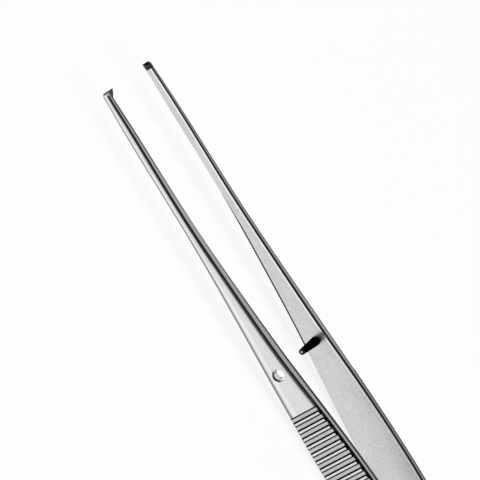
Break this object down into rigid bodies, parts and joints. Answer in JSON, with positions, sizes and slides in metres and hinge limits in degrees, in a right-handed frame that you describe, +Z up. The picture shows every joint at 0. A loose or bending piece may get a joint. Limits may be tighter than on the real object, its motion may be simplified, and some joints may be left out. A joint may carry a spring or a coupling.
{
  "type": "tissue forceps",
  "caption": "Spring tissue forceps with meshing teeth at slender tips, grooved grips, and a guide pin on one arm that enters a hole in the other.",
  "frame": {"origin": "bottom centre of the bounding box, on the surface that the forceps lies on", "axes": "+X along the arms to the tips, +Y from the arm with the pin to the arm with the guide hole, +Z up, across the width of the arms"},
  "size_m": [0.15, 0.0194, 0.008],
  "materials": {
    "satin_steel": "satin, finely brushed along the arms",
    "polished_steel": "turned and polished"
  },
  "bodies": {
    "rear": {"rear_arm": "satin_steel", "guide_pin": "polished_steel"},
    "front": {"front_arm": "satin_steel"}
  },
  "joints": [
    {"name": "squeeze", "type": "hinge", "parent": "rear", "child": "front", "pos_m": [-0.067, 0, 0.004], "axis": [0, 0, -1], "range_deg": [0, 5.8], "stiffness_Nm_per_rad": 1.9}
  ]
}
